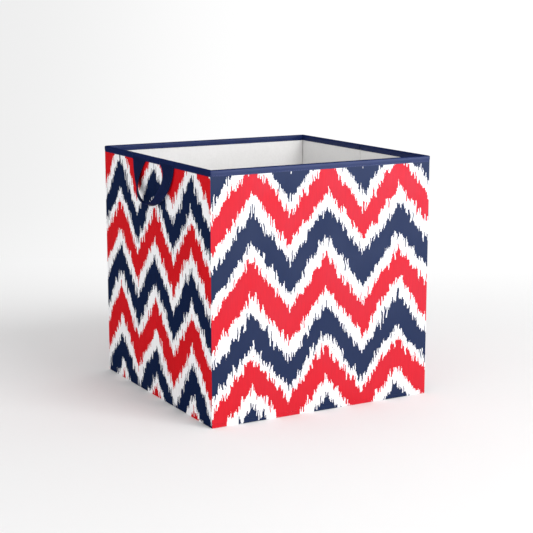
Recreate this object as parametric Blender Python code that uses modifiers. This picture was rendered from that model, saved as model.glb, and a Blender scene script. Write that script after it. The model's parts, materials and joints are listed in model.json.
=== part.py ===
"""Folding fabric storage bin: a printed cube with a handle on each side and a loose base board.

Every wall is a chipboard panel between a printed outer cloth and a white lining, with a navy binding
folded over its top edge. Each side wall is two half panels, so that the bin folds flat like a bellows:
the halves swing inwards on the corner seams and the back wall comes forwards to meet the front one.
The front wall and the bottom cloth stand still. The base board lies loose on the bottom cloth.

The origin is the middle of the footprint, on the floor. The front wall faces -Y and the handles are
on the walls that face -X and +X.
"""

import math

import bmesh
import bpy
from mathutils import Vector

# Driving dimensions, in metres.
SIDE = 0.2794  # width, depth and height of the cube over the cloth
CLOTH = 0.0004  # printed cloth, and the lining
WALL_BOARD = 0.0012
GAP = 0.0003  # between two layers that lie on each other
TAPE = 0.00035  # binding tape
TAPE_HEIGHT = 0.007  # how far the binding reaches down each face of a wall
SEAM = 0.0003  # between two panels that fold against each other
BOTTOM_CLOTH = 0.0005
BASE_BOARD = 0.002
BASE_CLEARANCE = 0.0007  # between the base board's cover and the binding it passes when lifted
BASE_HEM = 0.02  # how far the cover is turned under the base board
STRAP = 0.0012  # thickness of a handle
STRAP_WIDTH = 0.034
LOOP_REACH = 0.054  # from the middle of the wall to a handle's outer edge
LOOP_DROP = 0.0468  # from the binding to the lowest point of the loop
LOOP_SLACK = 0.0055  # how far the loop's lower edge hangs off the wall
LOOP_TWIST = math.radians(68)  # how far the strap has turned away from the wall at the bottom of the loop
LOOP_GRIP = 0.2  # share of the strap's width that is left where it is gathered, at the bottom of the loop
LOOP_STEPS = 14
FOLD_GAP = 0.0015  # from a centre fold to the end of each board beside it

# What follows from them.
HALF = SIDE / 2
WALL = 2 * CLOTH + 2 * GAP + WALL_BOARD
LAP = GAP + TAPE  # how far the binding stands out from a wall's face
WALL_TOP = SIDE - LAP
BASE_LOW = BOTTOM_CLOTH + GAP
BASE_TOP = BASE_LOW + 2 * CLOTH + 2 * GAP + BASE_BOARD
WALL_LOW = BASE_TOP + GAP
CORNER = HALF - WALL - LAP  # where the inner faces of two bindings would meet
HINGE = CORNER - SEAM  # a side wall starts here, on its corner hinge
MIDDLE_HINGE = HALF + LAP + SEAM  # the hinge between two half walls, outside their faces

UP, DOWN = (0, 0, 1), (0, 0, -1)
INWARD = {"front": (0, 1, 0), "back": (0, -1, 0), "left": (1, 0, 0), "right": (-1, 0, 0)}
FABRIC_MATERIALS = {
    "printed_cloth": (0.62, 0.016, 0.028),
    "white_lining": (0.72, 0.71, 0.70),
    "navy_binding": (0.016, 0.030, 0.11),
    "navy_webbing": (0.012, 0.022, 0.085),
    "chipboard": (0.27, 0.20, 0.13),
    "black_bottom_cloth": (0.02, 0.02, 0.024),
}

for old in list(bpy.data.objects):
    bpy.data.objects.remove(old, do_unlink=True)
collection = bpy.data.collections.new("fabric_storage_bin")
bpy.context.scene.collection.children.link(collection)


def cloth_material(name):
    """A rough, non-metallic Principled material, made once for each name."""
    material = bpy.data.materials.get(name)
    if material is None:
        material = bpy.data.materials.new(name)
        material.use_nodes = True
        shader = material.node_tree.nodes["Principled BSDF"]
        shader.inputs["Base Color"].default_value = (*FABRIC_MATERIALS[name], 1)
        shader.inputs["Roughness"].default_value = 0.85
        shader.inputs["Metallic"].default_value = 0
        material.diffuse_color = (*FABRIC_MATERIALS[name], 1)
    return material


def world_place(item):
    """Where an object's origin is, through its parents, none of which is turned."""
    place = Vector(item.location)
    while item.parent:
        item = item.parent
        place += item.location
    return place


def add_object(name, data, place, parent):
    """An object whose origin is at a place in the world, under a parent."""
    item = bpy.data.objects.new(name, data)
    collection.objects.link(item)
    item.parent = parent
    item.location = Vector(place) - (world_place(parent) if parent else Vector())
    return item


def add_pivot(name, place, parent=None):
    """An empty on a joint's axis, which carries the pieces that turn or slide with it."""
    pivot = add_object(name, None, place, parent)
    pivot.empty_display_size = 0.02
    return pivot


def add_box(name, low, high, material, parent, open_sides=(), thickness=CLOTH):
    """A box between two corners. With open sides it is cloth of that thickness bent over the others."""
    low, high = Vector(low), Vector(high)
    bm = bmesh.new()
    bmesh.ops.create_cube(bm, size=1)
    bmesh.ops.scale(bm, vec=high - low, verts=bm.verts)
    open_faces = [f for f in bm.faces if any(f.normal.dot(Vector(s)) > 0.9 for s in open_sides)]
    bmesh.ops.delete(bm, geom=open_faces, context="FACES")
    mesh = bpy.data.meshes.new(name)
    bm.to_mesh(mesh)
    bm.free()
    mesh.materials.append(cloth_material(material))
    item = add_object(name, mesh, (low + high) / 2, parent)
    if open_sides:
        shell = item.modifiers.new("cloth thickness", "SOLIDIFY")
        shell.thickness = thickness
        shell.offset = -1
        shell.use_even_offset = True
    return item


def wall_corners(side, along, depth, height):
    """The low and high corners of a box on one side of the bin.

    along runs along the wall, depth is measured inwards from its outer face, and height is from the floor.
    """
    def corner(a, d, z):
        place = {"front": (a, d - HALF), "back": (a, HALF - d), "left": (d - HALF, a), "right": (HALF - d, a)}
        return Vector((*place[side], z))

    ends = [corner(*values) for values in zip(along, depth, height)]
    low = Vector(min(values) for values in zip(*ends))
    high = Vector(max(values) for values in zip(*ends))
    return low, high


def add_wall(name, side, along, binding_along, parent, binding_ends_open=(), board_along=None):
    """One stiff panel: outer cloth turned round the board's ends, board, lining and binding."""
    inner = (along[0] + CLOTH + GAP, along[1] - CLOTH - GAP)
    height = (WALL_LOW, WALL_TOP)
    board_depth = (CLOTH + GAP, CLOTH + GAP + WALL_BOARD)
    outer = wall_corners(side, along, (0, WALL), height)
    add_box(f"{name}_outer_panel", *outer, "printed_cloth", parent, (UP, DOWN, INWARD[side]))
    add_box(f"{name}_board", *wall_corners(side, board_along or inner, board_depth, height), "chipboard", parent)
    lining = wall_corners(side, inner, (WALL - CLOTH, WALL), height)
    add_box(f"{name}_lining", *lining, "white_lining", parent)
    binding = wall_corners(side, binding_along, (-LAP, WALL + LAP), (SIDE - TAPE_HEIGHT, SIDE))
    open_sides = (DOWN, *binding_ends_open)
    add_box(f"{name}_binding", *binding, "navy_binding", parent, open_sides, TAPE)


def loop_point(turn, across):
    """A point on a handle's strap, as (out from the wall, along the wall, height).

    turn goes from 0 where the strap leaves the binding to a quarter turn at the bottom of the loop, and
    across goes from 0 at the lower edge, near the wall, to 1 at the upper edge, which swings outwards.
    The strap narrows down the loop, where it is gathered.
    """
    sine, cosine = max(0.0, math.sin(turn)), max(0.0, math.cos(turn))
    edge = Vector((
        GAP + STRAP + LOOP_SLACK * sine ** 2,
        LOOP_REACH * cosine ** 0.85,
        SIDE - TAPE_HEIGHT - GAP - LOOP_DROP * sine ** 1.3,
    ))
    rise = math.pi / 2 * sine ** 2
    twist = LOOP_TWIST * sine ** 7
    lean = Vector((math.sin(twist), -math.cos(twist) * math.cos(rise), math.cos(twist) * math.sin(rise)))
    return edge + lean * STRAP_WIDTH * (1 - (1 - LOOP_GRIP) * sine) * across


def add_handle_half(name, outward, towards, parent):
    """Half a webbing handle, from the binding to the middle of the loop, on the -Y or +Y half wall."""
    bm = bmesh.new()
    bmesh.ops.create_grid(bm, x_segments=LOOP_STEPS, y_segments=2, size=0.5)
    for vertex in bm.verts:
        out, along, height = loop_point((vertex.co.x + 0.5) * math.pi / 2, vertex.co.y + 0.5)
        vertex.co = (outward * out, towards * (along + SEAM / 2), height - SIDE)
    if outward * towards > 0:
        bmesh.ops.reverse_faces(bm, faces=bm.faces)
    mesh = bpy.data.meshes.new(name)
    bm.to_mesh(mesh)
    bm.free()
    mesh.materials.append(cloth_material("navy_webbing"))
    strap = add_object(name, mesh, (outward * HALF, 0, SIDE), parent)
    shell = strap.modifiers.new("strap thickness", "SOLIDIFY")
    shell.thickness = STRAP
    shell.offset = -1
    mesh.shade_smooth()
    mesh.set_sharp_from_angle(angle=math.radians(40))


def add_side(side, outward, front_pivot):
    """The two half walls of one side, each with half of the handle. Returns the back half's pivot."""
    front_half = (-HINGE, -SEAM / 2)
    back_half = (SEAM / 2, HINGE)
    ends = ((0, -1, 0), (0, 1, 0))
    board_end = HINGE - CLOTH - GAP
    add_wall(f"{side}_front", side, front_half, front_half, front_pivot, ends, (-board_end, -FOLD_GAP))
    add_handle_half(f"{side}_handle_front_half", outward, -1, front_pivot)
    middle = add_pivot(f"{side}_centre_fold", (outward * MIDDLE_HINGE, 0, HALF), front_pivot)
    add_wall(f"{side}_back", side, back_half, back_half, middle, ends, (FOLD_GAP, board_end))
    add_handle_half(f"{side}_handle_back_half", outward, 1, middle)
    return middle


def add_base_insert():
    """The loose base: a stiff board in a cover that is turned under along all four edges."""
    lift = add_pivot("base_lift", (0, 0, BASE_LOW))
    reach = CORNER - BASE_CLEARANCE
    inside = reach - CLOTH - GAP
    core_low = BASE_LOW + CLOTH + GAP
    core_corners = ((-inside, -inside, core_low), (inside, inside, core_low + BASE_BOARD))
    add_box("base_board", *core_corners, "chipboard", lift)
    cover_corners = ((-reach, -reach, BASE_LOW), (reach, reach, BASE_TOP))
    cover = add_box("base_cover", *cover_corners, "white_lining", lift, (DOWN,))
    bm = bmesh.new()
    bm.from_mesh(cover.data)
    rim = [edge for edge in bm.edges if edge.is_boundary]
    turned = bmesh.ops.extrude_edge_only(bm, edges=rim)["geom"]
    hem = [part for part in turned if isinstance(part, bmesh.types.BMVert)]
    shrink = (reach - BASE_HEM) / reach
    bmesh.ops.scale(bm, vec=(shrink, shrink, 1), verts=hem)
    bmesh.ops.recalc_face_normals(bm, faces=bm.faces)
    bm.to_mesh(cover.data)
    bm.free()


def add_bottom():
    """The bottom cloth, whose edges turn up to the seam with the walls."""
    corners = ((-HALF, -HALF, 0), (HALF, HALF, BASE_TOP))
    add_box("bottom_panel", *corners, "black_bottom_cloth", None, (UP,), BOTTOM_CLOTH)


front_ends = (-HALF, HALF)
taped_ends = (-HALF - LAP, HALF + LAP)
add_bottom()
add_wall("front", "front", front_ends, taped_ends, None)
left_front_fold = add_pivot("left_front_fold", (-CORNER, -HINGE, HALF))
right_front_fold = add_pivot("right_front_fold", (CORNER, -HINGE, HALF))
left_centre_fold = add_side("left", -1, left_front_fold)
add_side("right", 1, right_front_fold)
left_back_fold = add_pivot("left_back_fold", (-CORNER, HINGE, HALF), left_centre_fold)
add_wall("back", "back", front_ends, taped_ends, left_back_fold)
add_base_insert()
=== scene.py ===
import json
import math

import bmesh
import bpy
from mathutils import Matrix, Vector, noise


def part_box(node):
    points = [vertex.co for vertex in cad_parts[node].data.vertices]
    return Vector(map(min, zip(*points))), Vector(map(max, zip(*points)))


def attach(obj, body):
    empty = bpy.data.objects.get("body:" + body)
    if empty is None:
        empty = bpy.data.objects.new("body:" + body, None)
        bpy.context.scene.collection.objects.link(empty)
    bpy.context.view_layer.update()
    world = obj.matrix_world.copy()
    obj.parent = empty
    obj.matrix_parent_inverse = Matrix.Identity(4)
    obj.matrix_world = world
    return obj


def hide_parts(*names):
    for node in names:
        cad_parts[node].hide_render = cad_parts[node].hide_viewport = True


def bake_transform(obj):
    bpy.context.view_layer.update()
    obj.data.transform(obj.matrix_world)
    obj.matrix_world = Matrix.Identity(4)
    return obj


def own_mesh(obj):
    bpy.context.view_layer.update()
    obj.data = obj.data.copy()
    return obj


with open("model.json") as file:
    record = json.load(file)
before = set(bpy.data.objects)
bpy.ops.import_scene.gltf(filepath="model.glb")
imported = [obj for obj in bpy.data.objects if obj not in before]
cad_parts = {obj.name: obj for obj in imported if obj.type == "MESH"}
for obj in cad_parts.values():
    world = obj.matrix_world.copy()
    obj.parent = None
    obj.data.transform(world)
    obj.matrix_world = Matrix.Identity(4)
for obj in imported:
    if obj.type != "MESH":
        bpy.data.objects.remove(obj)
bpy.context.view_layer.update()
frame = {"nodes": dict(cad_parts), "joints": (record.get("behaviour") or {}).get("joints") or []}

# ---------------------------------------------------------------------------------------------
# Studio: a white paper sweep whose far part glows with painted light, dimmer towards the left, under a sky
# that is brightest near the horizon, a large softbox in front that throws a soft shadow behind the bin,
# and a low one that adds nothing but a sheen to the front.
# The camera has a long lens and looks slightly down on the rim.
# ---------------------------------------------------------------------------------------------
LENS_MM = 93.5
CAMERA_PLACE = Vector((-0.7890, -1.4124, 0.4567))
CAMERA_FORWARD = Vector((0.4814, 0.8553, -0.1917))
AWAY, RIGHT = (0.49, 0.87, 0), (0.87, -0.49, 0)  # over the floor, as the camera sees it


def srgb(text):
    """An sRGB hex colour, such as 1b2a4c, as the linear colour that shaders and lights take."""
    channels = [int(text[i:i + 2], 16) / 255 for i in (0, 2, 4)]
    return [c / 12.92 if c <= 0.04045 else ((c + 0.055) / 1.055) ** 2.4 for c in channels] + [1.0]


def add_node(tree, kind, inputs=(), **settings):
    """One shader or geometry node. inputs are {socket: value, or the socket that feeds it}."""
    made = tree.nodes.new(kind)
    for name, value in settings.items():
        setattr(made, name, value)
    for socket, value in dict(inputs).items():
        if isinstance(value, bpy.types.NodeSocket):
            tree.links.new(value, made.inputs[socket])
        else:
            made.inputs[socket].default_value = value
    return made


def new_material(name):
    """An empty material, with its tree and the surface socket of its output."""
    material = bpy.data.materials.new(name)
    material.use_nodes = True
    material.node_tree.nodes.clear()
    output = material.node_tree.nodes.new("ShaderNodeOutputMaterial")
    return material, material.node_tree, output.inputs["Surface"]


def paper_sweep_material():
    """Matt white background paper. Its far part glows with painted light that dims towards the left."""
    material, tree, surface = new_material("white background paper with painted glow")
    place = add_node(tree, "ShaderNodeTexCoord").outputs["Object"]
    along = add_node(tree, "ShaderNodeVectorMath", {0: place, 1: AWAY}, operation="DOT_PRODUCT")
    across = add_node(tree, "ShaderNodeVectorMath", {0: place, 1: RIGHT}, operation="DOT_PRODUCT")
    # painted light: further from the bin the paper glows instead of being lit
    far = add_node(tree, "ShaderNodeMapRange", {
        "Value": along.outputs["Value"], "From Min": 0.22, "From Max": 0.80},
        interpolation_type="SMOOTHSTEP")
    # painted light: the glow is stronger to the right and weaker to the left, like a lamp's falloff
    side = add_node(tree, "ShaderNodeMapRange", {
        "Value": across.outputs["Value"], "From Min": -0.75, "From Max": 0.10,
        "To Min": 0.86, "To Max": 1.02}, interpolation_type="SMOOTHSTEP")
    matt = add_node(tree, "ShaderNodeBsdfDiffuse", {"Color": (0.85, 0.85, 0.85, 1)})
    painted_glow = add_node(tree, "ShaderNodeEmission", {
        "Color": (1, 1, 1, 1), "Strength": side.outputs["Result"]})
    mix = add_node(tree, "ShaderNodeMixShader", {
        "Fac": far.outputs["Result"], 1: matt.outputs[0], 2: painted_glow.outputs[0]})
    tree.links.new(mix.outputs[0], surface)
    return material


def add_sweep():
    """The paper: flat under the bin, and rising in a wide curve behind it."""
    flat_back, rise, width = 1.3, 0.9, 6.0
    profile = [(-4.0, 0.0), (0.0, 0.0)]
    turns = [math.pi / 2 * i / 16 for i in range(17)]
    profile += [(flat_back + rise * math.sin(turn), rise * (1 - math.cos(turn))) for turn in turns]
    profile += [(flat_back + rise, 3.5)]
    forward = Vector((CAMERA_FORWARD.x, CAMERA_FORWARD.y, 0)).normalized()
    right = Vector((forward.y, -forward.x, 0))
    places = [forward * d + right * s + Vector((0, 0, z)) for d, z in profile for s in (-width, width)]
    faces = [(2 * i, 2 * i + 1, 2 * i + 3, 2 * i + 2) for i in range(len(profile) - 1)]
    mesh = bpy.data.meshes.new("paper_sweep")
    mesh.from_pydata(places, [], faces)
    mesh.shade_smooth()
    mesh.materials.append(paper_sweep_material())
    sweep = bpy.data.objects.new("paper_sweep", mesh)
    bpy.context.scene.collection.objects.link(sweep)
    sweep.visible_glossy = False


def add_softbox(name, towards, distance, size, watts, colour="ffffff", diffuse=True):
    """A square area light that faces the bin from a direction. Without diffuse it gives sheen only."""
    light = bpy.data.lights.new(name, "AREA")
    light.shape = "SQUARE"
    light.size = size
    light.energy = watts
    light.color = srgb(colour)[:3]
    lamp = bpy.data.objects.new(name, light)
    lamp.visible_diffuse = diffuse
    towards = Vector(towards).normalized()
    middle_of_the_bin = Vector((0, 0, 0.14))
    lamp.location = towards * distance + middle_of_the_bin
    lamp.rotation_euler = towards.to_track_quat("Z", "Y").to_euler()
    bpy.context.scene.collection.objects.link(lamp)


add_sweep()
add_softbox("key_softbox", (0.33, -0.94, 0.78), 2.4, 1.2, 30)
add_softbox("sheen_softbox", (0.52, -0.85, 0.02), 2.2, 0.9, 190, "c8d6ff", diffuse=False)
world = bpy.data.worlds.new("pale studio")
world.use_nodes = True
sky = world.node_tree.nodes["Background"]
direction = add_node(world.node_tree, "ShaderNodeTexCoord").outputs["Generated"]
rise = add_node(world.node_tree, "ShaderNodeSeparateXYZ", {0: direction}).outputs[2]
strength = add_node(world.node_tree, "ShaderNodeMapRange", {
    "Value": rise, "From Min": 0.0, "From Max": 0.7, "To Min": 2.05, "To Max": 0.56})
sky.inputs["Color"].default_value = (1, 1, 1, 1)
world.node_tree.links.new(strength.outputs["Result"], sky.inputs["Strength"])
world.cycles_visibility.glossy = False
bpy.context.scene.world = world
bpy.context.scene.view_settings.view_transform = "Standard"

camera_data = bpy.data.cameras.new("camera")
camera_data.lens = LENS_MM
camera_data.sensor_width = 36
camera = bpy.data.objects.new("camera", camera_data)
camera.location = CAMERA_PLACE
camera.rotation_euler = CAMERA_FORWARD.to_track_quat("-Z", "Y").to_euler()
bpy.context.scene.collection.objects.link(camera)
bpy.context.scene.camera = camera

# ---------------------------------------------------------------------------------------------
# Printed walls: canvas-weight cotton with a red, navy and white ikat chevron, one panel to a wall.
# The cloth is pulled over the boards and sewn at the corners, so it is almost flat, with a little
# ease in it that gathers along the seams. The side panels cross the centre fold in one piece.
# ---------------------------------------------------------------------------------------------
panel_low, panel_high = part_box("front_outer_panel")
HALF = panel_high[0]  # half the bin's width
WALL = panel_high[1] - panel_low[1]  # thickness of a wall, cloth to lining
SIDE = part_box("front_binding")[1][2]  # height of the rim
BINDING_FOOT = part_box("front_binding")[0][2]  # height of the binding's lower edges
PIVOTS = {j["name"]: j.get("pos_m") for j in frame["joints"]}
HINGE = abs(PIVOTS["left_front_fold"][1])  # a side wall turns about this far from the middle
CLOTH = 0.0004  # thickness of the printed cloth, and of the lining
CLOTH_SWELL, CLOTH_PUCKER = 0.0007, 0.00022  # how far the cloth stands off a wall: inside, and at seams

CHEVRON = 0.095  # from one peak of the print to the next
CHEVRON_DROP = 0.057  # from a peak down to a valley
BANDS_MM = (("navy", 34), ("white", 18), ("red", 37), ("white", 19), ("navy", 34), ("white", 14),
            ("red", 35), ("white", 18))
REPEAT = sum(width for _, width in BANDS_MM) / 1000
PRINT_COLOURS = {"navy": "0c1f45", "white": "eaeaec", "red": "ca0212"}
BUNDLE = 0.0021  # width of the yarns that were dyed together
YARN = 0.0013  # one sliver of the print's edge
SLIVERS = (0.0022, 0.0027, 0.0080)  # how far the dye ran: by bundle, by yarn, and along the odd yarn
SLIVER_RANGE = (-0.0080, 0.0085)
THREAD = 0.0011  # two threads of the canvas, drawn about twice as coarse as they are


def yarn_jitter(tree, across, edge, column, seed):
    """A number from -1 to 1, the same along one column of dyed yarn for one edge of the print."""
    index = add_node(tree, "ShaderNodeMath", {0: across, 1: 1 / column}, operation="MULTIPLY").outputs[0]
    index = add_node(tree, "ShaderNodeMath", {0: index}, operation="FLOOR").outputs[0]
    at = add_node(tree, "ShaderNodeCombineXYZ", {0: index, 1: edge, 2: seed}).outputs[0]
    made = add_node(tree, "ShaderNodeTexWhiteNoise", {"Vector": at}, noise_dimensions="3D")
    return add_node(tree, "ShaderNodeMath", {
        0: made.outputs["Value"], 1: 2, 2: -1}, operation="MULTIPLY_ADD").outputs[0]


def stepped_ramp(tree, share, steps_mm):
    """A ramp of flat steps: steps_mm is a list of (colour, width), which fills one repeat."""
    ramp = add_node(tree, "ShaderNodeValToRGB", {"Fac": share})
    ramp.color_ramp.interpolation = "CONSTANT"
    stops, position = ramp.color_ramp.elements, 0.0
    stops.remove(stops[1])
    for i, (colour, width) in enumerate(steps_mm):
        stop = stops[0] if i == 0 else stops.new(position)
        stop.color = colour
        position += width / 1000 / REPEAT
    return ramp.outputs["Color"]


def printed_cotton_material():
    """Matt canvas-weight cotton with a warp-dyed print.

    Each yarn took the dye a little higher or lower than the next, so every edge of the print is a row
    of upright slivers. The colour is slightly uneven along the yarns, and the weave is just visible.
    """
    material, tree, surface = new_material("ikat printed cotton canvas")
    uv = add_node(tree, "ShaderNodeUVMap", uv_map="cloth")
    split = add_node(tree, "ShaderNodeSeparateXYZ", {0: uv.outputs[0]})
    across, down = split.outputs[0], split.outputs[1]

    def maths(operation, *values):
        return add_node(tree, "ShaderNodeMath", dict(enumerate(values)), operation=operation).outputs[0]

    # The zigzag, in steps as wide as a bundle of yarns that were tied and dyed together.
    uneven = add_node(tree, "ShaderNodeTexNoise", {
        "Vector": uv.outputs[0], "Scale": 140, "Detail": 0}, noise_dimensions="2D").outputs[0]
    shifted = maths("MULTIPLY_ADD", uneven, 0.002, across)
    snapped = maths("SNAP", shifted, BUNDLE)
    zigzag = maths("PINGPONG", snapped, CHEVRON / 2)
    wander = add_node(tree, "ShaderNodeTexNoise", {
        "Vector": uv.outputs[0], "Scale": 17, "Detail": 1}, noise_dimensions="2D").outputs[0]
    height = maths("MULTIPLY_ADD", zigzag, -CHEVRON_DROP / (CHEVRON / 2), down)
    height = maths("MULTIPLY_ADD", wander, 0.014, height)
    height = maths("ADD", height, -0.007)

    # Which edge of the print is nearest, so that each edge gets slivers of its own.
    widths = [width for _, width in BANDS_MM]
    greys = [i / len(widths) for i in range(len(widths))]
    regions = [((grey, grey, grey, 1), (widths[i - 1] + widths[i]) / 2) for i, grey in enumerate(greys)]
    from_region = maths("ADD", height, widths[-1] / 2000)
    region = maths("MULTIPLY", from_region, 1 / REPEAT)
    edge = stepped_ramp(tree, maths("FRACT", region), regions)
    edge = maths("ADD", edge, maths("FLOOR", region))

    step = yarn_jitter(tree, shifted, edge, BUNDLE * 1.6, 3.3)
    fine = yarn_jitter(tree, shifted, edge, YARN, 9.1)
    long = yarn_jitter(tree, shifted, edge, YARN, 21.7)
    sliver = maths("MULTIPLY", step, SLIVERS[0])
    sliver = maths("MULTIPLY_ADD", fine, SLIVERS[1], sliver)
    sliver = maths("MULTIPLY_ADD", maths("POWER", long, 3), SLIVERS[2], sliver)
    sliver = maths("MAXIMUM", maths("MINIMUM", sliver, SLIVER_RANGE[1]), SLIVER_RANGE[0])
    height = maths("ADD", height, sliver)
    share = maths("FRACT", maths("MULTIPLY", height, 1 / REPEAT))
    bands = [(srgb(PRINT_COLOURS[colour]), width) for colour, width in BANDS_MM]
    dye = stepped_ramp(tree, share, bands)

    # Uneven dye along each yarn, and faint broad patches.
    yarn = maths("FLOOR", maths("MULTIPLY", across, 1 / 0.0009))
    streak = add_node(tree, "ShaderNodeCombineXYZ", {
        0: maths("MULTIPLY", yarn, 7.31), 1: maths("MULTIPLY", down, 50)}).outputs[0]
    streak = add_node(tree, "ShaderNodeTexNoise", {
        "Vector": streak, "Scale": 1, "Detail": 1}, noise_dimensions="2D").outputs[0]
    patches = add_node(tree, "ShaderNodeTexNoise", {
        "Vector": uv.outputs[0], "Scale": 22, "Detail": 3}, noise_dimensions="2D").outputs[0]
    shade = maths("MULTIPLY_ADD", streak, 0.18, 0.85)
    shade = maths("MULTIPLY_ADD", patches, 0.12, shade)
    dyed = add_node(tree, "ShaderNodeVectorMath", {0: dye, "Scale": shade}, operation="SCALE")
    threads = [maths("SINE", maths("MULTIPLY", axis, 2 * math.pi / THREAD)) for axis in (across, down)]
    bump = add_node(tree, "ShaderNodeBump", {
        "Height": maths("MULTIPLY", *threads), "Strength": 0.35, "Distance": 0.00006}).outputs[0]
    rough = maths("MULTIPLY_ADD", patches, 0.16, 0.46)
    shader = add_node(tree, "ShaderNodeBsdfPrincipled", {
        "Base Color": dyed.outputs[0], "Roughness": rough, "IOR": 1.45, "Specular IOR Level": 0.12,
        "Normal": bump})
    tree.links.new(shader.outputs[0], surface)
    return material


def ease(wall, along, height):
    """How far the cloth stands off a wall: a soft swell, and short puckers beside the seams."""
    seam = min(HALF - abs(along), height, BINDING_FOOT - height)
    held = min(1.0, max(0.0, seam) / 0.02)
    swell = noise.noise((along * 14 + 31 * wall, height * 11, wall * 5.3)) + 0.6
    pucker = noise.noise((along * 70, height * 70, 40 + wall * 9.1))
    crease = math.exp(-(along / 0.0009) ** 2) if wall > 2 else 0.0
    at_seam = (1 - held) * min(1.0, max(0.0, seam) / 0.003)
    eased = CLOTH_SWELL * held * swell + CLOTH_PUCKER * pucker * at_seam
    return eased * (1 - math.exp(-(along / 0.006) ** 2) * (wall > 2)) - 0.0001 * crease


WALL_AXES = {  # outward direction, direction along the wall, and the wall's number
    "front": (Vector((0, -1, 0)), Vector((1, 0, 0)), 1),
    "back": (Vector((0, 1, 0)), Vector((1, 0, 0)), 2),
    "left": (Vector((-1, 0, 0)), Vector((0, 1, 0)), 3),
    "right": (Vector((1, 0, 0)), Vector((0, 1, 0)), 4),
}
# Where a peak of the print, and the top of its first navy band, lie on each wall. Whole chevrons are
# added to the back and the right, so that each wall has slivers of its own.
PRINT_STARTS = {
    "front": (0.0038, 0.049), "left": (0.0, 0.111 - REPEAT), "back": (0.031 + CHEVRON * 6, 0.082),
    "right": (-0.012 - CHEVRON * 8, 0.024)}


def steps(start, end, spacing):
    """Evenly spaced values from start to end, no further apart than the spacing."""
    count = max(1, math.ceil(abs(end - start) / spacing))
    return [start + (end - start) * i / count for i in range(count + 1)]


def link_piece(name, mesh):
    """A piece made of a finished mesh, at the origin."""
    piece = bpy.data.objects.new(name, mesh)
    bpy.context.scene.collection.objects.link(piece)
    return piece


def surface_mesh(name, grid, uvs, material, outward, thickness):
    """A cloth sheet on a grid of points that faces outward, with its UVs. Its thickness goes inward."""
    rows, columns = len(grid), len(grid[0])
    points = [p for row in grid for p in row]
    faces = [(i * columns + j, i * columns + j + 1, (i + 1) * columns + j + 1, (i + 1) * columns + j)
             for i in range(rows - 1) for j in range(columns - 1)]
    a, b, c = (Vector(points[faces[0][k]]) for k in (0, 1, 2))
    if (b - a).cross(c - a).dot(outward) < 0:
        faces = [face[::-1] for face in faces]
    mesh = bpy.data.meshes.new(name)
    mesh.from_pydata(points, [], faces)
    flat_uvs = [uv for row in uvs for uv in row]
    layer = mesh.uv_layers.new(name="cloth")
    for loop in mesh.loops:
        layer.data[loop.index].uv = flat_uvs[loop.vertex_index]
    mesh.shade_smooth()
    bm = bmesh.new()
    bm.from_mesh(mesh)
    for edge in bm.edges:
        edge.smooth = not edge.is_boundary
    bm.to_mesh(mesh)
    bm.free()
    mesh.materials.append(material)
    piece = link_piece(name, mesh)
    shell = piece.modifiers.new("cloth thickness", "SOLIDIFY")
    shell.thickness = thickness
    shell.offset = -1
    shell.use_even_offset = True
    return piece


def wall_cloth(name, wall, start, end, foot, top, spacing=0.004):
    """Printed cloth over one stretch of a wall, between two places along it and two heights."""
    out, along, number = WALL_AXES[wall]
    peak, navy_top = PRINT_STARTS[wall]
    grid, uvs = [], []
    for a in steps(start, end, spacing):
        column, marks = [], []
        for z in steps(foot, top, 0.004):
            column.append(out * (HALF + ease(number, a, z)) + along * a + Vector((0, 0, z)))
            marks.append((a - peak, SIDE - z - navy_top))
        grid.append(column)
        uvs.append(marks)
    return surface_mesh(name, grid, uvs, printed_cotton, out, CLOTH)


printed_cotton = printed_cotton_material()
BASE_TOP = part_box("base_cover")[1][2]
WALL_FOOT = BASE_TOP + 0.00005  # the walls pass just over the base board when they fold
CLOTH_TOP = BINDING_FOOT + 0.004  # the cloth goes on up under the binding
FOLD_STRIP = 0.004  # half the width of the strip of cloth at a centre fold
CORNER_STRIP = 0.003  # width of the strip of cloth beside a corner
CORNERS = (("left", "front"), ("left", "back"), ("right", "front"))  # the fourth corner has no joint


for wall in ("front", "back"):
    cloth = wall_cloth(f"{wall}_printed_cloth", wall, -HALF, HALF, WALL_FOOT, CLOTH_TOP)
    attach(cloth, f"{wall}_wall")
    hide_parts(f"{wall}_outer_panel")

for side in ("left", "right"):
    for half, sign in (("front", -1), ("back", 1)):
        ends = sorted((sign * FOLD_STRIP, sign * (HINGE - CORNER_STRIP)))
        cloth = wall_cloth(f"{side}_{half}_printed_cloth", side, *ends, WALL_FOOT, CLOTH_TOP)
        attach(cloth, f"{side}_{half}_half")
        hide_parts(f"{side}_{half}_outer_panel")
        if (side, half) in CORNERS:
            ends = sorted((sign * HALF, sign * (HINGE - CORNER_STRIP)))
            corner = wall_cloth(f"{side}_{half}_corner_cloth", side, *ends, WALL_FOOT, CLOTH_TOP, 0.0012)
            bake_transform(corner)
    fold = wall_cloth(
        f"{side}_centre_fold_cloth", side, -FOLD_STRIP, FOLD_STRIP, WALL_FOOT, CLOTH_TOP, 0.0004)
    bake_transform(fold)

# The corner with no joint: one strip stays on each side of it, and they meet at rest.
parting = HINGE + 0.0006
for name, body, start, end in (
        ("right_back_corner_cloth", "right_back_half", HINGE - CORNER_STRIP, parting),
        ("back_right_corner_cloth", "back_wall", parting + 0.0001, HALF)):
    strip = wall_cloth(name, "right", start, end, WALL_FOOT, CLOTH_TOP, 0.0012)
    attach(strip, body)

# ---------------------------------------------------------------------------------------------
# Foot: the lowest few millimetres of the printed cloth are sewn to a black non-woven bottom cloth,
# so they stay with it. The bottom lies flat on whatever the bin stands on.
# ---------------------------------------------------------------------------------------------
GAP = 0.0003  # between two layers that lie on each other
DIMPLE_PITCH = 0.0014  # spacing of the dimples that the bonding rollers press into non-woven cloth


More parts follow.
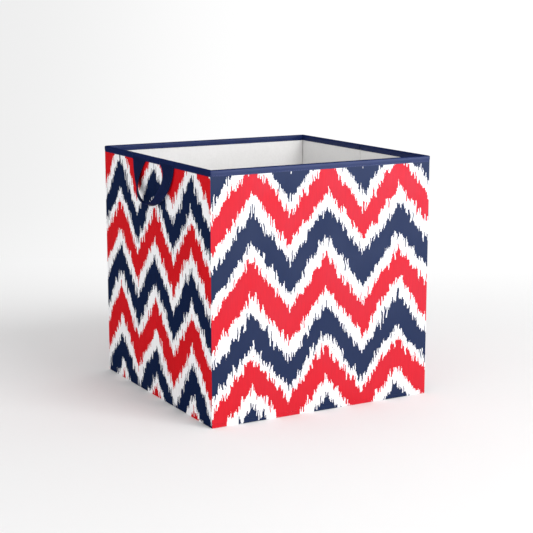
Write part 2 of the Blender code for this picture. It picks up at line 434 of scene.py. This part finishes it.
def non_woven_material(name, colour, roughness):
    """Spun-bonded polypropylene: matt, fibrous, with a fine grid of bonded dimples."""
    material, tree, surface = new_material(name)
    place = add_node(tree, "ShaderNodeTexCoord").outputs["Object"]
    dimples = add_node(tree, "ShaderNodeTexVoronoi", {
        "Vector": place, "Scale": 1 / DIMPLE_PITCH, "Randomness": 0.25}).outputs["Distance"]
    fibres = add_node(tree, "ShaderNodeTexNoise", {"Vector": place, "Scale": 420, "Detail": 3}).outputs[0]
    cloud = add_node(tree, "ShaderNodeTexNoise", {"Vector": place, "Scale": 26, "Detail": 4}).outputs[0]

    def scaled_sum(value, factor, added):
        return add_node(tree, "ShaderNodeMath", {
            0: value, 1: factor, 2: added}, operation="MULTIPLY_ADD").outputs[0]

    height = scaled_sum(fibres, 0.5, dimples)
    shade = scaled_sum(fibres, 0.10, scaled_sum(cloud, 0.10, 0.90))
    tint = add_node(tree, "ShaderNodeVectorMath", {
        0: tuple(srgb(colour)[:3]), "Scale": shade}, operation="SCALE").outputs[0]
    bump = add_node(tree, "ShaderNodeBump", {"Height": height, "Strength": 0.3, "Distance": 0.0001})
    shader = add_node(tree, "ShaderNodeBsdfPrincipled", {
        "Base Color": tint, "Roughness": roughness, "IOR": 1.49, "Specular IOR Level": 0.1,
        "Normal": bump.outputs[0]})
    tree.links.new(shader.outputs[0], surface)
    return material


for wall in WALL_AXES:
    strip = wall_cloth(f"{wall}_foot_cloth", wall, -HALF, HALF, 0.0002, BASE_TOP - 0.0001, 0.002)
    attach(strip, "front_wall")

bottom_reach = HALF - 0.0006
places = steps(-bottom_reach, bottom_reach, 0.01)
bottom_points = [[Vector((x, y, 0)) for y in places] for x in places]
bottom_uvs = [[(x, y) for y in places] for x in places]
black_cloth = non_woven_material("black spun-bonded bottom cloth", "1f2024", 0.8)
bottom_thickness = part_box("base_cover")[0][2] - GAP
bottom = surface_mesh(
    "bottom_cloth", bottom_points, bottom_uvs, black_cloth, Vector((0, 0, -1)), bottom_thickness)
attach(bottom, "front_wall")
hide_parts("bottom_panel")

# ---------------------------------------------------------------------------------------------
# Lining: plain off-white non-woven cloth, one panel to a wall, caught under the binding at the rim
# and pulled down to the foot. It lies a little loose on the boards, and creases at the centre folds.
# ---------------------------------------------------------------------------------------------
INNER = HALF - WALL
FOLD_DIP = WALL - 2.6 * CLOTH  # how deep the lining creases between the boards at a centre fold
lining_cloth = non_woven_material("off-white spun-bonded lining", "e3e2e1", 0.7)


def smooth_step(value):
    """0 below 0, 1 above 1, and a soft curve between."""
    value = min(1.0, max(0.0, value))
    return value * value * (3 - 2 * value)


def fold_depth(along):
    """How deep the cloth dips between the boards beside a centre fold: 1 in the middle, 0 over them."""
    return 1 - smooth_step((abs(along) - 0.0003) / 0.0012)


def lining_ease(wall, along, height):
    """How far the lining stands off its board: broad soft ripples, held flat at the seams."""
    seam = min(INNER - abs(along), height, BINDING_FOOT - height)
    held = min(1.0, max(0.0, seam) / 0.03)
    ripple = noise.noise((along * 16 + 11 * wall, height * 9, 70 + wall)) + 0.55
    fold = fold_depth(along) if wall > 2 else 0.0
    return 0.0009 * held * max(0.0, ripple) * smooth_step(abs(along) / 0.012) - FOLD_DIP * fold


def lining_panel(name, wall, start, end, spacing=0.005):
    """Lining over one stretch of a wall, facing into the bin."""
    out, along, number = WALL_AXES[wall]
    places, heights = steps(start, end, spacing), steps(WALL_FOOT, CLOTH_TOP, 0.005)
    grid = [[out * (INNER - lining_ease(number, a, z)) + along * a + Vector((0, 0, z)) for z in heights]
            for a in places]
    uvs = [[(a, z) for z in heights] for a in places]
    panel = surface_mesh(name, grid, uvs, lining_cloth, -out, CLOTH)
    return panel


for wall in ("front", "back"):
    panel = lining_panel(f"{wall}_lining_cloth", wall, -INNER, INNER)
    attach(panel, f"{wall}_wall")
    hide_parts(f"{wall}_lining")
for side in ("left", "right"):
    for half, sign in (("front", -1), ("back", 1)):
        ends = sorted((sign * FOLD_STRIP, sign * (INNER - CLOTH)))
        panel = lining_panel(f"{side}_{half}_lining_cloth", side, *ends)
        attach(panel, f"{side}_{half}_half")
        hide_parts(f"{side}_{half}_lining")
    fold = lining_panel(f"{side}_centre_fold_lining", side, -FOLD_STRIP, FOLD_STRIP, 0.00025)
    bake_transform(fold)

# ---------------------------------------------------------------------------------------------
# Binding: navy twill tape, 18 mm wide, folded over the top of every wall and sewn through near its
# lower edges with one row of navy thread. It swells a little over the ends of the handles.
# ---------------------------------------------------------------------------------------------
LAP = -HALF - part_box("front_binding")[0][0]  # how far the tape stands off a wall
THICK = WALL + 2 * LAP  # thickness of the rim
TAPE = 0.00035
TAPE_OUT, TAPE_IN = HALF + LAP, INNER - LAP  # its outer and inner faces, from the middle of the bin
TAPE_HEIGHT = SIDE - BINDING_FOOT
TAPE_ROUND = 0.0013  # height of the round top where it turns over the rim
TAPE_STITCH = (0.085, 0.0010)  # its stitching: share of the way across, and height above its edge
STRAP = 0.0012
STRAP_INNER, STRAP_OUTER = 0.020, 0.054  # a handle's legs lie between these, either side of the middle


def twill_material(name, colour, pitch, roughness, shine):
    """Woven navy twill: fine diagonal ribs, painted shade in the grooves between them, a soft low shine,
    and a slight unevenness of dye.
    """
    material, tree, surface = new_material(name)
    uv = add_node(tree, "ShaderNodeUVMap", uv_map="cloth")
    split = add_node(tree, "ShaderNodeSeparateXYZ", {0: uv.outputs[0]})

    def maths(operation, *values):
        return add_node(tree, "ShaderNodeMath", dict(enumerate(values)), operation=operation).outputs[0]

    diagonal = maths("ADD", split.outputs[0], split.outputs[1])
    ribs = maths("SINE", maths("MULTIPLY", diagonal, 2 * math.pi / pitch))
    patches = add_node(tree, "ShaderNodeTexNoise", {
        "Vector": uv.outputs[0], "Scale": 60, "Detail": 3}, noise_dimensions="2D").outputs[0]
    # painted shade: the colour is darker in the grooves between the ribs, where the bump is lowest
    shade = maths("MULTIPLY_ADD", ribs, 0.05, maths("MULTIPLY_ADD", patches, 0.30, 0.85))
    tint = add_node(tree, "ShaderNodeVectorMath", {
        0: tuple(srgb(colour)[:3]), "Scale": shade}, operation="SCALE").outputs[0]
    bump = add_node(tree, "ShaderNodeBump", {"Height": ribs, "Strength": 0.4, "Distance": 0.00008})
    shader = add_node(tree, "ShaderNodeBsdfPrincipled", {
        "Base Color": tint, "Roughness": roughness, "IOR": 1.5, "Specular IOR Level": shine,
        "Normal": bump.outputs[0]})
    tree.links.new(shader.outputs[0], surface)
    return material


navy_tape = twill_material("navy twill binding tape", "102050", 0.0016, 0.5, 0.15)


def tape_bulge(along):
    """How much further the tape stands off a side wall where it passes over a handle's legs."""
    near = min(abs(along) - STRAP_INNER, STRAP_OUTER - abs(along))
    return (STRAP - 0.0002) * smooth_step(near / 0.003 + 1)


def tape_section():
    """The folded tape from its outer lower edge, over the rim, as (share across, height)."""
    outer = [(0.06, 0.0), (0.085, 0.0009), (0.03, 0.0022), (0.0, 0.004)]
    turns = [math.pi * i / 8 for i in range(9)]
    crown = [(0.5 - 0.5 * math.cos(turn), TAPE_HEIGHT - TAPE_ROUND + TAPE_ROUND * math.sin(turn))
             for turn in turns]
    inner = [(1 - share, height) for share, height in reversed(outer)]
    return outer + crown + inner


TAPE_SECTION = tape_section()


def tape_piece(name, plan, bulges):
    """Binding along a plan: pairs of points on the tape's outer and inner faces, and its swell at each."""
    grid, uvs, travelled = [], [], 0.0
    for i, ((outer, inner), bulge) in enumerate(zip(plan, bulges)):
        outer, inner = Vector((*outer, 0)), Vector((*inner, 0))
        if i:
            travelled += (outer - previous).length
        previous = outer
        away = (outer - inner).normalized()
        row, marks, down = [], [], 0.0
        for share, height in TAPE_SECTION:
            swell = bulge * max(0.0, 1 - share * 4) * (1 - smooth_step((height - 0.003) / 0.004))
            row.append(outer.lerp(inner, share) + away * swell + Vector((0, 0, BINDING_FOOT + height)))
            marks.append((travelled, down))
            down += 0.001
        grid.append(row)
        uvs.append(marks)
    facing = Vector(plan[0][0]).to_3d() - Vector(plan[0][1]).to_3d()
    piece = surface_mesh(name, grid, uvs, navy_tape, facing, TAPE)
    return piece


def end_tape(end):
    """The front or back wall's binding, with a short return round each corner."""
    sign = -1 if end == "front" else 1
    radius, fillet = 0.0016, 0.0003
    left = []
    for i in range(7):
        turn = math.pi / 2 * i / 6
        from_side, from_end = 1 - math.cos(turn), 1 - math.sin(turn)
        outer = (-TAPE_OUT + radius * from_side, sign * (TAPE_OUT - radius * from_end))
        inner = (-TAPE_IN + fillet * from_side, sign * (TAPE_IN - fillet * from_end))
        left.append((outer, inner))
    first = [((-TAPE_OUT, sign * (HINGE + 0.00005)), (-TAPE_IN, sign * (HINGE - 0.00001)))]
    straight_reach = 0.134  # ends just short of the corners
    straight = [((x, sign * TAPE_OUT), (x, sign * TAPE_IN))
                for x in steps(-straight_reach, straight_reach, 0.006)]
    half = first + left
    mirrored = [((-o[0], o[1]), (-i[0], i[1])) for o, i in reversed(half)]
    plan = half + straight + mirrored
    return tape_piece(f"{end}_binding_tape", plan, [0.0] * len(plan))


def side_plan(side, start, end, spacing=0.002):
    """The plan of a straight stretch of a side wall's binding, and the swell along it."""
    x = WALL_AXES[side][0].x
    places = steps(start, end, spacing)
    notch = THICK - 4 * CLOTH  # how deep its inner face creases at the centre fold
    plan = [((x * TAPE_OUT, y), (x * (TAPE_IN + notch * fold_depth(y)), y)) for y in places]
    return plan, [tape_bulge(y) for y in places]


for end in ("front", "back"):
    tape = end_tape(end)
    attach(tape, f"{end}_wall")
    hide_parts(f"{end}_binding")
for side in ("left", "right"):
    for half, sign in (("front", -1), ("back", 1)):
        jointed = (side, half) in CORNERS
        reach = HINGE - CORNER_STRIP if jointed else HINGE
        tape = tape_piece(f"{side}_{half}_binding_tape",
                          *side_plan(side, *sorted((sign * FOLD_STRIP, sign * reach))))
        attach(tape, f"{side}_{half}_half")
        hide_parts(f"{side}_{half}_binding")
        if jointed:
            corner = tape_piece(f"{side}_{half}_corner_tape",
                                *side_plan(side, *sorted((sign * HINGE, sign * reach)), 0.0005))
            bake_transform(corner)
    fold = tape_piece(f"{side}_centre_fold_tape", *side_plan(side, -FOLD_STRIP, FOLD_STRIP, 0.00025))
    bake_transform(fold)

# ---------------------------------------------------------------------------------------------
# Handles: a navy strap on each side, folded from twill into four layers and edge-stitched. Its ends
# go up under the binding with a gap between them, and it is gathered narrow at the bottom of the loop.
# Each is made as two halves that meet at the middle of the loop, because the wall folds there.
# ---------------------------------------------------------------------------------------------
STRAP_WIDTH = STRAP_OUTER - STRAP_INNER
STRAP_STITCH = 0.07  # share of its width from each edge to the stitching
LOOP_DROP = 0.0468  # from the binding to the bottom of the loop
LOOP_SLACK = 0.0055  # how far the loop's lower edge hangs off the wall
LOOP_TWIST = math.radians(68)  # how far the strap has turned away from the wall at the bottom
LOOP_GRIP = 0.2  # share of the strap's width that is left where it is gathered, at the bottom
navy_strap = twill_material("navy folded twill strap", "0e1c46", 0.0018, 0.55, 0.12)


def loop_frame(turn):
    """The strap's lower edge, the way across it (as long as it is wide), and the way its face looks.

    All are (out, along, height). turn runs from 0 at the binding to a quarter at the loop's bottom.
    """
    sine, cosine = max(0.0, math.sin(turn)), max(0.0, math.cos(turn))
    edge = Vector((GAP + STRAP / 2 + LOOP_SLACK * sine ** 2, STRAP_OUTER * cosine ** 0.85,
                   BINDING_FOOT - GAP - LOOP_DROP * sine ** 1.3))
    rise = math.pi / 2 * sine ** 2
    twist = LOOP_TWIST * sine ** 7
    heading = Vector((0, -math.sin(rise), -math.cos(rise)))
    across = Vector((math.sin(twist), math.cos(twist) * heading.z, -math.cos(twist) * heading.y))
    return edge, across * STRAP_WIDTH * (1 - (1 - LOOP_GRIP) * sine), across.cross(heading)


def strap_section():
    """The folded strap's outline: (share across, height off its middle), dented along its stitching."""
    near_shares = [0.0, 0.012, 0.035, 0.07, 0.12, 0.2, 0.35]
    upper = []
    for share in near_shares + [0.5] + [1 - share for share in reversed(near_shares)]:
        edge = min(share, 1 - share)
        body = STRAP / 2 * (1 - (1 - min(1.0, edge / 0.03)) ** 2) ** 0.5
        dent = 0.22 * math.exp(-((edge - STRAP_STITCH) / 0.02) ** 2)
        upper.append((share, max(0.00015, body * (1 - dent))))
    return upper + [(share, -height) for share, height in reversed(upper)]


def strap_half(side, half):
    """Half of a handle, as a closed tube of the strap's section, from under the tape to the middle."""
    x = WALL_AXES[side][0].x
    sign = -1 if half == "front" else 1
    section = strap_section()
    rings, marks, travelled = [], [], 0.0
    tucked = [Vector((0, 0, 0.003)), Vector((0, 0, 0.0015))]
    stations = [(0.0, lift) for lift in tucked] + [(math.pi / 2 * i / 30, Vector()) for i in range(31)]
    for turn, lift in stations:
        edge, across, face = loop_frame(turn)
        ring = [edge + lift + across * share + face * height for share, height in section]
        if rings:
            travelled += (ring[0] - rings[-1][0]).length
        rings.append(ring)
        marks.append([(share * STRAP_WIDTH, travelled) for share, _ in section])
    count = len(section)
    points = [Vector((x * (HALF + p.x), sign * max(0.0, p.y), p.z)) for ring in rings for p in ring]
    faces = [(i + j, i + (j + 1) % count, i + count + (j + 1) % count, i + count + j)
             for i in range(0, count * (len(rings) - 1), count) for j in range(count)]
    faces += [tuple(range(count)), tuple(range((len(rings) - 1) * count, len(rings) * count))]
    mesh = bpy.data.meshes.new(f"{side}_handle_{half}_strap")
    mesh.from_pydata(points, [], faces)
    bm = bmesh.new()
    bm.from_mesh(mesh)
    bmesh.ops.recalc_face_normals(bm, faces=bm.faces)
    bm.to_mesh(mesh)
    bm.free()
    layer = mesh.uv_layers.new(name="cloth")
    flat = [uv for ring in marks for uv in ring]
    for loop in mesh.loops:
        layer.data[loop.index].uv = flat[loop.vertex_index]
    mesh.shade_smooth()
    mesh.set_sharp_from_angle(angle=math.radians(60))
    mesh.materials.append(navy_strap)
    return link_piece(mesh.name, mesh)


def ride_handle(piece, side, half):
    """Carries a piece of a handle on its half wall, with a mesh of its own."""
    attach(piece, f"{side}_{half}_half")
    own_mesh(piece)


for side in ("left", "right"):
    for half in ("front", "back"):
        strap = strap_half(side, half)
        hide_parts(f"{side}_handle_{half}_half")
        ride_handle(strap, side, half)

# ---------------------------------------------------------------------------------------------
# Base: a stiff board in a cover of the lining cloth, which is turned under and sewn. It lies loose
# on the bottom cloth and keeps the bin square. The boards in the walls are the same grey chipboard.
# ---------------------------------------------------------------------------------------------
def chipboard_material():
    """Uncoated grey-brown paper board: matt, flecked with fibres of recycled paper."""
    material, tree, surface = new_material("uncoated grey chipboard")
    place = add_node(tree, "ShaderNodeTexCoord").outputs["Object"]
    flecks = add_node(tree, "ShaderNodeTexNoise", {"Vector": place, "Scale": 650, "Detail": 3}).outputs[0]
    cloud = add_node(tree, "ShaderNodeTexNoise", {"Vector": place, "Scale": 40, "Detail": 4}).outputs[0]
    mixed = add_node(tree, "ShaderNodeMath", {0: cloud, 1: 0.5, 2: flecks}, operation="MULTIPLY_ADD")
    ramp = add_node(tree, "ShaderNodeValToRGB", {"Fac": mixed.outputs[0]})
    for stop, position, colour in zip(ramp.color_ramp.elements, (0.45, 0.95), ("6f6252", "a39581")):
        stop.position = position
        stop.color = srgb(colour)
    bump = add_node(tree, "ShaderNodeBump", {"Height": flecks, "Strength": 0.3, "Distance": 0.00005})
    shader = add_node(tree, "ShaderNodeBsdfPrincipled", {
        "Base Color": ramp.outputs[0], "Roughness": 0.85, "Specular IOR Level": 0.3,
        "Normal": bump.outputs[0]})
    tree.links.new(shader.outputs[0], surface)
    return material


grey_board = chipboard_material()
for name, node in frame["nodes"].items():
    if name.endswith("_board"):
        node.data.materials.clear()
        node.data.materials.append(grey_board)


def base_cover_piece():
    """The cover: a top that is eased over the board, four edges, and a hem turned under."""
    low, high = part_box("base_cover")
    reach, hem, rounding = high[0], 0.02, 0.0004
    places = steps(-reach, reach, 0.006)
    points = []
    for x in places:
        for y in places:
            from_edge = min(reach - abs(x), reach - abs(y))
            points.append((x, y, high[2] - rounding + rounding * smooth_step(from_edge / 0.01)))
    count = len(places)
    faces = [(i * count + j, (i + 1) * count + j, (i + 1) * count + j + 1, i * count + j + 1)
             for i in range(count - 1) for j in range(count - 1)]
    mesh = bpy.data.meshes.new("base_cover_cloth")
    mesh.from_pydata(points, [], faces)
    bm = bmesh.new()
    bm.from_mesh(mesh)
    side_drop = high[2] - low[2] - 2 * rounding
    for drop, inset in ((rounding, 0.0), (side_drop, 0.0), (0.0, rounding), (0.0, hem)):
        rim = [edge for edge in bm.edges if edge.is_boundary]
        new = bmesh.ops.extrude_edge_only(bm, edges=rim)["geom"]
        for vert in (part for part in new if isinstance(part, bmesh.types.BMVert)):
            vert.co.z -= drop
            for axis in (0, 1):
                if abs(vert.co[axis]) > reach - hem:
                    vert.co[axis] -= math.copysign(inset, vert.co[axis])
    bmesh.ops.recalc_face_normals(bm, faces=bm.faces)
    bm.to_mesh(mesh)
    bm.free()
    mesh.shade_smooth()
    mesh.set_sharp_from_angle(angle=math.radians(50))
    mesh.materials.append(lining_cloth)
    cover = link_piece("base_cover_cloth", mesh)
    shell = cover.modifiers.new("cloth thickness", "SOLIDIFY")
    shell.thickness = CLOTH
    shell.offset = -1
    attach(cover, "base_insert")
    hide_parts("base_cover")


base_cover_piece()

# ---------------------------------------------------------------------------------------------
# Stitching: one row of navy thread along each lower edge of the binding, two along each handle, and
# a white row round the base cover's hem. Each stitch is a short twist of thread pulled into the cloth.
# ---------------------------------------------------------------------------------------------
def thread_material(name, colour):
    """Polyester sewing thread: smooth, slightly shiny, round."""
    material, tree, surface = new_material(name)
    place = add_node(tree, "ShaderNodeTexCoord").outputs["Object"]
    twist = add_node(tree, "ShaderNodeTexNoise", {"Vector": place, "Scale": 900, "Detail": 1}).outputs[0]
    shade = add_node(tree, "ShaderNodeMath", {0: twist, 1: 0.4, 2: 0.8}, operation="MULTIPLY_ADD")
    tint = add_node(tree, "ShaderNodeVectorMath", {
        0: tuple(srgb(colour)[:3]), "Scale": shade.outputs[0]}, operation="SCALE").outputs[0]
    shader = add_node(tree, "ShaderNodeBsdfPrincipled", {
        "Base Color": tint, "Roughness": 0.4, "Specular IOR Level": 0.2})
    tree.links.new(shader.outputs[0], surface)
    return material


def stitch_tree():
    """Geometry nodes that lay stitches along the edges of a mesh."""
    tree = bpy.data.node_groups.new("stitch row", "GeometryNodeTree")
    interface = tree.interface
    interface.new_socket("Geometry", in_out="INPUT", socket_type="NodeSocketGeometry")
    sockets = {}
    for label, kind in (("Pitch", "Float"), ("Length", "Float"), ("Thread radius", "Float"),
                        ("Thread", "Material")):
        sockets[label] = interface.new_socket(label, in_out="INPUT", socket_type=f"NodeSocket{kind}")
    interface.new_socket("Geometry", in_out="OUTPUT", socket_type="NodeSocketGeometry")
    given = add_node(tree, "NodeGroupInput").outputs
    path = add_node(tree, "GeometryNodeMeshToCurve", {"Mesh": given["Geometry"]}).outputs["Curve"]
    points = add_node(tree, "GeometryNodeCurveToPoints", {
        "Curve": path, "Length": given["Pitch"]}, mode="LENGTH")
    bead = add_node(tree, "GeometryNodeMeshUVSphere", {"Segments": 8, "Rings": 6, "Radius": 1.0})
    half_length = add_node(tree, "ShaderNodeMath", {0: given["Length"], 1: 0.5}, operation="MULTIPLY")
    size = add_node(tree, "ShaderNodeCombineXYZ", {
        0: given["Thread radius"], 1: given["Thread radius"], 2: half_length.outputs[0]})
    tilt = add_node(tree, "FunctionNodeRandomValue", {"Seed": 7}, data_type="FLOAT_VECTOR")
    tilt.inputs[0].default_value = (-0.06, -0.06, 0)
    tilt.inputs[1].default_value = (0.06, 0.06, 0)
    turned = add_node(tree, "FunctionNodeRotateRotation", {
        "Rotation": points.outputs["Rotation"], "Rotate By": tilt.outputs[0]}, rotation_space="LOCAL")
    laid = add_node(tree, "GeometryNodeInstanceOnPoints", {
        "Points": points.outputs["Points"], "Instance": bead.outputs["Mesh"],
        "Rotation": turned.outputs[0], "Scale": size.outputs[0]})
    real = add_node(tree, "GeometryNodeRealizeInstances", {"Geometry": laid.outputs["Instances"]})
    smooth = add_node(tree, "GeometryNodeSetShadeSmooth", {"Geometry": real.outputs["Geometry"]})
    dressed = add_node(tree, "GeometryNodeSetMaterial", {
        "Geometry": smooth.outputs["Geometry"], "Material": given["Thread"]})
    output = tree.nodes.new("NodeGroupOutput")
    tree.links.new(dressed.outputs["Geometry"], output.inputs[0])
    return tree, {label: socket.identifier for label, socket in sockets.items()}


STITCHES, STITCH_INPUTS = stitch_tree()
navy_thread = thread_material("navy polyester thread", "1c2c5c")
white_thread = thread_material("off-white polyester thread", "e4e3e0")


def stitch_rows(name, rows, thread, pitch=0.0034, length=0.0027, radius=0.0002):
    """Stitches along rows of points, as one plain mesh."""
    points, edges = [], []
    for row in rows:
        edges += [(len(points) + i, len(points) + i + 1) for i in range(len(row) - 1)]
        points += row
    mesh = bpy.data.meshes.new(f"{name}_path")
    mesh.from_pydata(points, edges, [])
    carrier = bpy.data.objects.new(f"{name}_path", mesh)
    bpy.context.scene.collection.objects.link(carrier)
    modifier = carrier.modifiers.new("stitches", "NODES")
    modifier.node_group = STITCHES
    values = {"Pitch": pitch, "Length": length, "Thread radius": radius, "Thread": thread}
    for label, value in values.items():
        modifier[STITCH_INPUTS[label]] = value
    evaluated = carrier.evaluated_get(bpy.context.evaluated_depsgraph_get())
    made = bpy.data.meshes.new_from_object(evaluated)
    made.name = name
    bpy.data.objects.remove(carrier)
    return link_piece(name, made)


def tape_rows(plan, bulges):
    """The places of the stitches along the outer and the inner face of a stretch of tape."""
    share, height = TAPE_STITCH
    outer_row, inner_row = [], []
    for (outer, inner), bulge in zip(plan, bulges):
        outer, inner = Vector((*outer, BINDING_FOOT + height)), Vector((*inner, BINDING_FOOT + height))
        away = (outer - inner).normalized()
        outer_row.append(outer.lerp(inner, share) + away * bulge)
        inner_row.append(inner.lerp(outer, share))
    return [outer_row, inner_row]


fold_end, corner_end = 0.0018, HINGE - 0.001  # the stitches stop just short of both
for side in ("left", "right"):
    for half, sign in (("front", -1), ("back", 1)):
        rows = tape_rows(*side_plan(side, *sorted((sign * fold_end, sign * corner_end))))
        stitches = stitch_rows(f"{side}_{half}_binding_stitches", rows, navy_thread)
        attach(stitches, f"{side}_{half}_half")
for end, sign in (("front", -1), ("back", 1)):
    places = steps(-HALF + 0.004, HALF - 0.004, 0.01)
    plan = [((x, sign * TAPE_OUT), (x, sign * TAPE_IN)) for x in places]
    stitches = stitch_rows(f"{end}_binding_stitches", tape_rows(plan, [0.0] * len(plan)), navy_thread)
    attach(stitches, f"{end}_wall")

STITCH_DEPTH = 0.42  # where the thread lies in the dent, as a share of the strap's thickness


def strap_row(side, half, share, face_side):
    """The places of the stitches along one edge of half a handle, on one of its two faces."""
    x, sign = WALL_AXES[side][0].x, -1 if half == "front" else 1
    row = []
    for i in range(1, 30):
        edge, across, face = loop_frame(math.pi / 2 * i / 30)
        place = edge + across * share + face * face_side * STRAP * STITCH_DEPTH
        row.append(Vector((x * (HALF + place.x), sign * place.y, place.z)))
    return row


for side in ("left", "right"):
    for half in ("front", "back"):
        rows = [strap_row(side, half, share, face_side)
                for share in (STRAP_STITCH, 1 - STRAP_STITCH) for face_side in (1, -1)]
        stitches = stitch_rows(f"{side}_handle_{half}_stitches", rows, navy_thread,
                               pitch=0.0032, length=0.0025, radius=0.00018)
        ride_handle(stitches, side, half)

hem_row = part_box("base_cover")[1][0] - 0.004
corners = [Vector((x * hem_row, y * hem_row, BASE_TOP - 0.00026))
           for x, y in ((-1, -1), (1, -1), (1, 1), (-1, 1), (-1, -1))]
stitches = stitch_rows("base_cover_stitches", [corners], white_thread, pitch=0.0036, length=0.0028)
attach(stitches, "base_insert")
